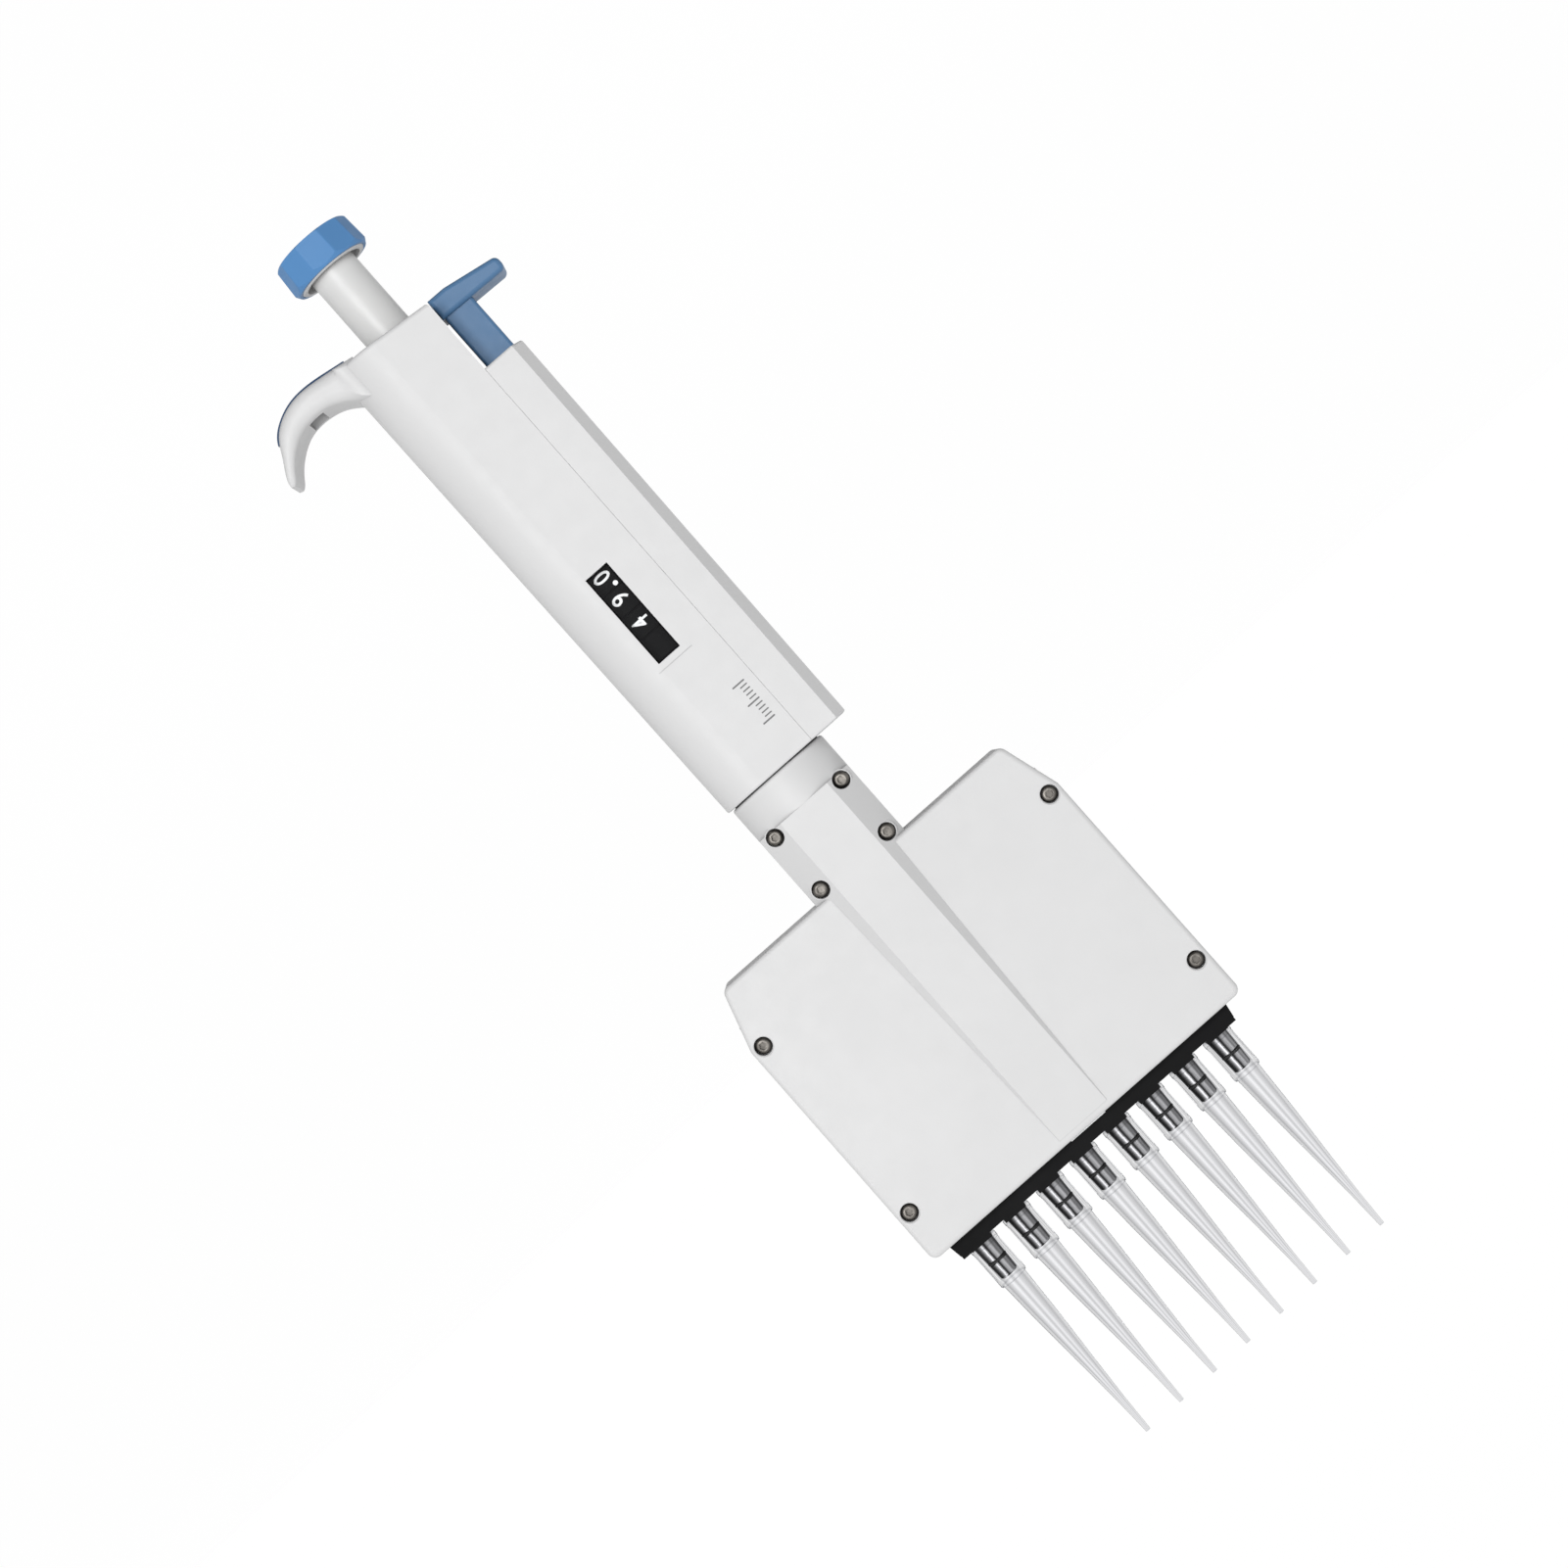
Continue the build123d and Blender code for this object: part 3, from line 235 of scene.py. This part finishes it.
def tip_plastic(name):
    """Clear moulded polypropylene as a thin wall: lengthwise painted refraction streaks round the axis with darker
    edges, and painted shade on the ledges.
    """
    t = Tree(name)
    flow = t.noise(500.0, 2.0, 0.5, (1.0, 1.0, 0.03))
    normal = t.node("ShaderNodeSeparateXYZ")
    t.link(t.coord, "Normal", normal, "Vector")
    # outer surfaces carry the painted refraction streaks: the normal points away from the channel's own axis there
    place = t.node("ShaderNodeSeparateXYZ")
    t.link(t.coord, "Object", place, "Vector")
    wrapped = t.node("ShaderNodeMath", _operation="WRAP")
    wrapped.inputs[1].default_value, wrapped.inputs[2].default_value = 0.0045, -0.0045
    shifted = t.node("ShaderNodeMath", _operation="ADD")
    t.link(place, "X", shifted, 0)
    shifted.inputs[1].default_value = 0.0045
    t.link(shifted, "Value", wrapped, 0)
    px = t.node("ShaderNodeMath", _operation="MULTIPLY")
    t.link(wrapped, "Value", px, 0)
    t.link(normal, "X", px, 1)
    py = t.node("ShaderNodeMath", _operation="MULTIPLY")
    t.link(place, "Y", py, 0)
    t.link(normal, "Y", py, 1)
    outward = t.node("ShaderNodeMath", _operation="ADD")
    t.link(px, "Value", outward, 0)
    t.link(py, "Value", outward, 1)
    outside = t.node("ShaderNodeMath", _operation="GREATER_THAN")
    t.link(outward, "Value", outside, 0)
    outside.inputs[1].default_value = 0.0
    wobble = t.scalar(flow, "Fac", 0.3, 0.7, -0.012, 0.012)
    around = t.node("ShaderNodeMath", _operation="ADD")
    t.link(normal, "X", around, 0)
    t.link(wobble, "Result", around, 1)
    span = t.scalar(around, "Value", -1.0, 1.0, 0.0, 1.0)
    # painted refraction: transmitted brightness across the tip per facing direction, bright core and dark edges, in
    # place of real refraction
    painted_light_levels = [(-1.00, 205), (-0.93, 176), (-0.86, 170), (-0.78, 184), (-0.70, 202), (-0.56, 213), (-0.47, 226), (-0.39, 241),
            (-0.32, 252), (-0.24, 247), (-0.16, 231), (-0.09, 215), (-0.01, 208), (0.07, 217), (0.14, 233), (0.21, 243),
            (0.30, 240), (0.38, 228), (0.45, 216), (0.54, 211), (0.62, 212), (0.70, 202), (0.78, 187), (0.86, 184),
            (0.94, 200), (1.00, 215)]
    streak = t.ramp(span, "Result", [((u + 1) / 2, (math.sqrt(srgb(v)),) * 2 + (min(1.0, math.sqrt(srgb(v)) * 1.006),))
                                     for u, v in painted_light_levels])
    level = t.nt.nodes.new("ShaderNodeMix")
    level.data_type, level.blend_type = "RGBA", "MIX"
    t.link(outside, "Value", level, 0)
    level.inputs[6].default_value = (0.985, 0.986, 0.99, 1.0)
    t.nt.links.new(streak.outputs["Color"], level.inputs[7])
    # painted shade: faces turned along the axis (ledges and steps) are made to let less light through
    flat = t.node("ShaderNodeMath", _operation="ABSOLUTE")
    t.link(normal, "Z", flat, 0)
    painted_ledge_shade = t.ramp(flat, "Value", [(0.0, (1.0, 1.0, 1.0)), (0.25, (0.97, 0.97, 0.975)), (0.6, (0.66, 0.665, 0.675)),
                                   (1.0, (0.55, 0.555, 0.57))])
    mul = t.nt.nodes.new("ShaderNodeMix")
    mul.data_type, mul.blend_type = "RGBA", "MULTIPLY"
    mul.inputs["Factor"].default_value = 1.0
    t.nt.links.new(level.outputs[2], mul.inputs[6])
    t.nt.links.new(painted_ledge_shade.outputs["Color"], mul.inputs[7])
    clear = t.node("ShaderNodeBsdfTransparent")
    t.nt.links.new(mul.outputs[2], clear.inputs["Color"])
    b = t.bump(flow, "Fac", 0.000003, 0.4)
    gloss = t.node("ShaderNodeBsdfGlossy", Roughness=0.2, Color=(0.88, 0.885, 0.895, 1))
    t.link(b, "Normal", gloss, "Normal")
    milk = t.node("ShaderNodeBsdfDiffuse", Color=(0.60, 0.61, 0.625, 1))
    t.link(b, "Normal", milk, "Normal")
    haze = t.nt.nodes.new("ShaderNodeMixShader")
    fog = t.scalar(flow, "Fac", 0.3, 0.7, 0.001, 0.004)
    t.link(fog, "Result", haze, "Fac")
    t.link(clear, "BSDF", haze, 1)
    t.link(milk, "BSDF", haze, 2)
    fres = t.node("ShaderNodeFresnel", IOR=1.05)
    last = t.nt.nodes.new("ShaderNodeMixShader")
    t.link(fres, "Fac", last, "Fac")
    t.link(haze, "Shader", last, 1)
    t.link(gloss, "BSDF", last, 2)
    t.link(last, "Shader", t.out, "Surface")
    return t.mat


def cone_steel(name):
    """Dark polished cone: painted reflection bands in the base colour that run lengthwise round the axis, with turning
    marks.
    """
    t = Tree(name)
    sep = t.node("ShaderNodeSeparateXYZ")
    t.link(t.coord, "Normal", sep, "Vector")
    mark = t.noise(1200.0, 2.0, 0.5, (0.15, 0.15, 1.0))
    wobble = t.scalar(mark, "Fac", 0.3, 0.7, -0.015, 0.015)
    around = t.node("ShaderNodeMath", _operation="ADD")
    t.link(sep, "X", around, 0)
    t.link(wobble, "Result", around, 1)
    span = t.scalar(around, "Value", -1.0, 1.0, 0.0, 1.0)
    # painted reflection: base-colour levels across the cone keyed to the facing normal, standing in for the reflected
    # surroundings
    painted_light_levels = [(-1.00, 60), (-0.93, 30), (-0.85, 20), (-0.77, 36), (-0.68, 70), (-0.60, 98), (-0.52, 124), (-0.44, 165),
            (-0.36, 205), (-0.29, 204), (-0.21, 140), (-0.14, 60), (-0.06, 28), (0.02, 55), (0.11, 118), (0.20, 146),
            (0.29, 160), (0.37, 170), (0.45, 160), (0.53, 128), (0.60, 124), (0.69, 156), (0.78, 152), (0.85, 110),
            (0.93, 96), (1.00, 120)]
    painted_reflection_bands = t.ramp(span, "Result", [((u + 1) / 2, (srgb(v) * 1.25, srgb(v) * 1.25, srgb(v) * 1.27)) for u, v in painted_light_levels])
    p = t.node("ShaderNodeBsdfPrincipled", Metallic=0.7)
    p.inputs["Specular IOR Level"].default_value = 0.1
    t.link(painted_reflection_bands, "Color", p, "Base Color")
    r = t.scalar(mark, "Fac", 0.3, 0.7, 0.5, 0.6)
    t.link(r, "Result", p, "Roughness")
    b = t.bump(mark, "Fac", 0.0000015, 0.4)
    t.link(b, "Normal", p, "Normal")
    t.link(p, "BSDF", t.out, "Surface")
    return t.mat


def lens_plastic(name):
    """Polished clear window: see-through with a thin reflection and hairline scratches."""
    t = Tree(name)
    gloss = t.node("ShaderNodeBsdfGlossy", Roughness=0.22, Color=(0.40, 0.40, 0.41, 1))
    clear = t.node("ShaderNodeBsdfTransparent", Color=(0.97, 0.973, 0.978, 1))
    fres = t.node("ShaderNodeFresnel", IOR=1.12)
    scratch = t.noise(1600.0, 2.0, 0.5, (1.0, 1.0, 0.08))
    b = t.bump(scratch, "Fac", 0.0000006, 0.3)
    t.link(b, "Normal", gloss, "Normal")
    t.link(b, "Normal", fres, "Normal")
    mix = t.nt.nodes.new("ShaderNodeMixShader")
    t.link(fres, "Fac", mix, "Fac")
    t.link(clear, "BSDF", mix, 1)
    t.link(gloss, "BSDF", mix, 2)
    t.link(mix, "Shader", t.out, "Surface")
    return t.mat


def printed(name, color):
    """Pad-printed ink: nearly matt, slightly uneven cover."""
    t = Tree(name)
    p = t.node("ShaderNodeBsdfPrincipled")
    ink = t.noise(2200.0, 3.0, 0.6)
    col = t.ramp(ink, "Fac", [(0.25, shade(color, 0.86)), (0.55, color)])
    t.link(col, "Color", p, "Base Color")
    r = t.scalar(ink, "Fac", 0.3, 0.7, 0.42, 0.6)
    t.link(r, "Result", p, "Roughness")
    b = t.bump(ink, "Fac", 0.000004, 0.5)
    t.link(b, "Normal", p, "Normal")
    t.link(p, "BSDF", t.out, "Surface")
    return t.mat


MATS = {
    "white_plastic": plastic("white_plastic", (0.475, 0.475, 0.477), rough=0.5, vary=0.02, specular=0.35),
    "rod_white": plastic("rod_white", (0.49, 0.49, 0.486), rough=0.42, grain=0.000004, wave=0.00001, vary=0.02,
                         painted_shade_reach=0.0025),
    "blue_pad": plastic("blue_pad", (0.014, 0.042, 0.10), rough=0.6, grain=0.00001, grain_scale=1500.0, specular=0.2),
    "blue_cap": plastic("blue_cap", (0.062, 0.178, 0.37), rough=0.5, vary=0.05, grain=0.000004, specular=0.3),
    "blue_lever": plastic("blue_lever", (0.058, 0.132, 0.245), rough=0.42, vary=0.05, grain=0.000004, specular=0.3),
    "inner_grey": plastic("inner_grey", (0.42, 0.43, 0.44), rough=0.5),
    "black_wheel": plastic("black_wheel", (0.003, 0.003, 0.0033), rough=0.7, vary=0.25, painted_shade_reach=0.0, specular=0.05),
    "black_plastic": plastic("black_plastic", (0.0035, 0.0035, 0.0038), rough=0.5, vary=0.35, painted_shade_reach=0.0, specular=0.07),
    "clear_lens": lens_plastic("clear_lens"),
    "tip_clear": tip_plastic("tip_clear"),
    "brass_nut": metal("brass_nut", (0.70, 0.50, 0.22), 0.28, 1200.0),
    "steel": metal("steel", (0.52, 0.52, 0.53), 0.22, 900.0),
    "spring_steel": metal("spring_steel", (0.33, 0.33, 0.34), 0.3),
    "dark_screw": metal("dark_screw", (0.13, 0.122, 0.112), 0.42, speck=0.3),
    "cone_metal": cone_steel("cone_metal"),
    "aluminium_plate": metal("aluminium_plate", (0.66, 0.66, 0.68), 0.42),
    "black_rubber": rubber("black_rubber", (0.012, 0.012, 0.012)),
}
WHITE_INK = printed("white_ink", (0.93, 0.93, 0.92))
GREY_INK = printed("grey_ink", (0.09, 0.09, 0.092))

slot_of = {s["node"]: s["material_slot"] for s in frame["record"]["subparts"]}
for name, obj in NODES.items():
    m = MATS[slot_of[name]]
    if not obj.material_slots:
        obj.data.materials.append(m)
    for ms in obj.material_slots:
        ms.material = m


# ------------------------------------------------------------------ mesh helpers
def mesh_object(name, bm, material, smooth=True):
    bmesh.ops.recalc_face_normals(bm, faces=bm.faces)
    data = bpy.data.meshes.new(name)
    bm.to_mesh(data)
    bm.free()
    for p in data.polygons:
        p.use_smooth = smooth
    data.materials.append(material)
    obj = bpy.data.objects.new(name, data)
    scene.collection.objects.link(obj)
    return obj


def glyph_mesh(text, width, height):
    """Flat glyph, centred, scaled to width x height, as a bmesh with short edges."""
    curve = bpy.data.curves.new("glyph", "FONT")
    curve.body = text
    curve.resolution_u = 4
    curve.offset = 0.012
    holder = bpy.data.objects.new("glyph", curve)
    scene.collection.objects.link(holder)
    bpy.context.view_layer.update()
    data = bpy.data.meshes.new_from_object(holder)
    bpy.data.objects.remove(holder)
    bpy.data.curves.remove(curve)
    bm = bmesh.new()
    bm.from_mesh(data)
    bpy.data.meshes.remove(data)
    xs = [v.co.x for v in bm.verts]
    ys = [v.co.y for v in bm.verts]
    cx, cy = (min(xs) + max(xs)) / 2, (min(ys) + max(ys)) / 2
    sx, sy = width / (max(xs) - min(xs)), height / (max(ys) - min(ys))
    if text == "1":
        sx = sy * 0.8
    for v in bm.verts:
        v.co = Vector(((v.co.x - cx) * sx, (v.co.y - cy) * sy, 0))
    bmesh.ops.remove_doubles(bm, verts=bm.verts, dist=1e-6 * max(width, height))
    bmesh.ops.triangulate(bm, faces=bm.faces)
    for _ in range(4):
        long_edges = [e for e in bm.edges if e.calc_length() > height * 0.16]
        if not long_edges:
            break
        bmesh.ops.subdivide_edges(bm, edges=long_edges, cuts=1)
        bmesh.ops.triangulate(bm, faces=bm.faces)
    return bm


def thicken(bm, lower, upper, place):
    """Turn a flat bmesh into a closed thin solid; place(v, level) gives a point for a flat position and a level."""
    flat = [v.co.copy() for v in bm.verts]
    out = bmesh.new()
    top = [out.verts.new(place(p, upper)) for p in flat]
    bottom = [out.verts.new(place(p, lower)) for p in flat]
    bm.verts.index_update()
    done = set()
    for f in bm.faces:
        idx = [v.index for v in f.verts]
        key = tuple(sorted(idx))
        if key in done:
            continue
        done.add(key)
        out.faces.new([top[i] for i in idx])
        out.faces.new([bottom[i] for i in reversed(idx)])
    for e in bm.edges:
        if len(e.link_faces) == 1:
            i, j = e.verts[0].index, e.verts[1].index
            out.faces.new([top[i], bottom[i], bottom[j], top[j]])
    bm.free()
    return out


def join(bms):
    total = bmesh.new()
    for b in bms:
        tmp = bpy.data.meshes.new("tmp")
        b.to_mesh(tmp)
        b.free()
        total.from_mesh(tmp)
        bpy.data.meshes.remove(tmp)
    return total


# ------------------------------------------------------------------ digits on the counter wheels
WHEEL_R = 8.1 * MM


def wheel_digits(name, node, body, shown, dz, blank_zero=False):
    lo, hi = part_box(node)
    zc = (lo.z + hi.z) / 2 + dz * MM
    centre = -0.45 * MM / WHEEL_R
    parts = []
    for d in range(10):
        if blank_zero and d == 0:
            continue
        phi_c = centre - (d - shown) * math.radians(36.0)

        def place(p, level, phi_c=phi_c):
            phi = phi_c - p.y / WHEEL_R
            r = WHEEL_R + level
            return Vector((r * math.sin(phi), -r * math.cos(phi), zc + p.x))

        parts.append(thicken(glyph_mesh(str(d), 2.0 * MM, 3.85 * MM), -0.00003, 0.00004, place))
    obj = mesh_object(name, join(parts), WHITE_INK, smooth=False)
    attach(obj, body)
    return obj


wheel_digits("digits_tenths", "digit_wheel_tenths", "counter_drive", 0, 0.35)
wheel_digits("digits_units", "digit_wheel_units", "units_wheel", 9, 0.45)
wheel_digits("digits_tens", "digit_wheel_tens", "tens_wheel", 4, -0.1)
wheel_digits("digits_hundreds", "digit_wheel_hundreds", "hundreds_wheel", 0, 0.0, blank_zero=True)


def decimal_point():
    bm = bmesh.new()
    bmesh.ops.create_circle(bm, cap_ends=True, segments=32, radius=0.52 * MM)
    lens_lo, lens_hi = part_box("window_lens")
    y = lens_hi.y + 0.00001

    def place(p, level):
        return Vector((1.0 * MM + p.x, y + level, 199.1 * MM + p.y))

    obj = mesh_object("decimal_point", thicken(bm, 0.0, 0.00006, place), WHITE_INK, smooth=False)
    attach(obj, "handle")
    return obj


decimal_point()


# ------------------------------------------------------------------ graduation marks on the handle
def front_y(z):
    return -(12.0 + 0.5 * (z - 149.6) / (272.0 - 149.6))


def range_marks():
    parts = []
    n = 11
    for i in range(n):
        z = 158.3 + i * (167.6 - 158.3) / (n - 1)
        length = 2.7 if i % 5 == 0 else 1.5
        half = 0.17 if i % 5 == 0 else 0.14
        x1 = 7.3
        x0 = x1 - length
        bm = bmesh.new()
        pts = []
        for k in range(9):
            a = -math.pi / 2 + math.pi * k / 8
            pts.append((x1 + half * math.cos(a), z + half * math.sin(a)))
        for k in range(9):
            a = math.pi / 2 + math.pi * k / 8
            pts.append((x0 + half * math.cos(a), z + half * math.sin(a)))
        bm.faces.new([bm.verts.new((px, pz, 0)) for px, pz in pts])

        def place(p, level):
            return Vector((p.x * MM, front_y(p.y) * MM - level, p.y * MM))

        parts.append(thicken(bm, -0.00002, 0.000012, place))
    obj = mesh_object("range_marks", join(parts), GREY_INK, smooth=False)
    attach(obj, "handle")
    return obj


range_marks()


# ------------------------------------------------------------------ stage and lights
def stage():
    """Round pale floor that turns up into a low far wall, so no horizon shows."""
    bm = bmesh.new()
    z0 = -0.062
    rings = [(0.0, z0)]
    for r in (0.2, 0.5, 0.9, 1.3, 1.7):
        rings.append((r, z0))
    for k in range(1, 9):
        a = math.pi / 2 * k / 8
        rings.append((1.7 + 0.8 * math.sin(a), z0 + 0.8 * (1 - math.cos(a))))
    rings.append((2.5, 1.30))
    seg = 64
    centre = bm.verts.new((0, 0, z0))
    prev = None
    for r, z in rings[1:]:
        ring = [bm.verts.new((r * math.cos(2 * math.pi * i / seg), r * math.sin(2 * math.pi * i / seg), z))
                for i in range(seg)]
        for i in range(seg):
            j = (i + 1) % seg
            if prev is None:
                bm.faces.new((centre, ring[i], ring[j]))
            else:
                bm.faces.new((prev[i], ring[i], ring[j], prev[j]))
        prev = ring
    t = Tree("stage_paper")
    p = t.node("ShaderNodeBsdfPrincipled", Roughness=0.85)
    p.inputs["Specular IOR Level"].default_value = 0.1
    n = t.noise(6.0, 3.0, 0.5)
    col = t.ramp(n, "Fac", [(0.3, (0.030, 0.030, 0.030)), (0.7, (0.033, 0.033, 0.033))])
    t.link(col, "Color", p, "Base Color")
    p.inputs["Emission Color"].default_value = (1, 1, 1, 1)
    p.inputs["Emission Strength"].default_value = 0.97
    t.link(p, "BSDF", t.out, "Surface")
    obj = mesh_object("floor", bm, t.mat)
    for poly in obj.data.polygons:
        if poly.normal.z < 0 and poly.center.z < 0:
            poly.flip()
    return obj


stage()


def area(name, location, target, size, energy, color=(1, 1, 1)):
    data = bpy.data.lights.new(name, "AREA")
    data.shape = "RECTANGLE"
    data.size, data.size_y = size
    data.energy = energy
    data.color = color
    obj = bpy.data.objects.new(name, data)
    obj.location = location
    direction = Vector(target) - Vector(location)
    obj.rotation_euler = direction.to_track_quat("-Z", "Y").to_euler()
    scene.collection.objects.link(obj)
    return obj


CENTRE = (0, 0, 0.15)
area("key", (-0.30, -1.35, 0.34), CENTRE, (0.5, 0.5), 15.0)
area("top", (-0.2, -0.25, 1.4), CENTRE, (0.8, 0.8), 3.0)

world = bpy.data.worlds.new("world")
scene.world = world
world.use_nodes = True
bg = world.node_tree.nodes["Background"]
bg.inputs["Color"].default_value = (1.0, 1.0, 1.0, 1.0)
bg.inputs["Strength"].default_value = 0.10
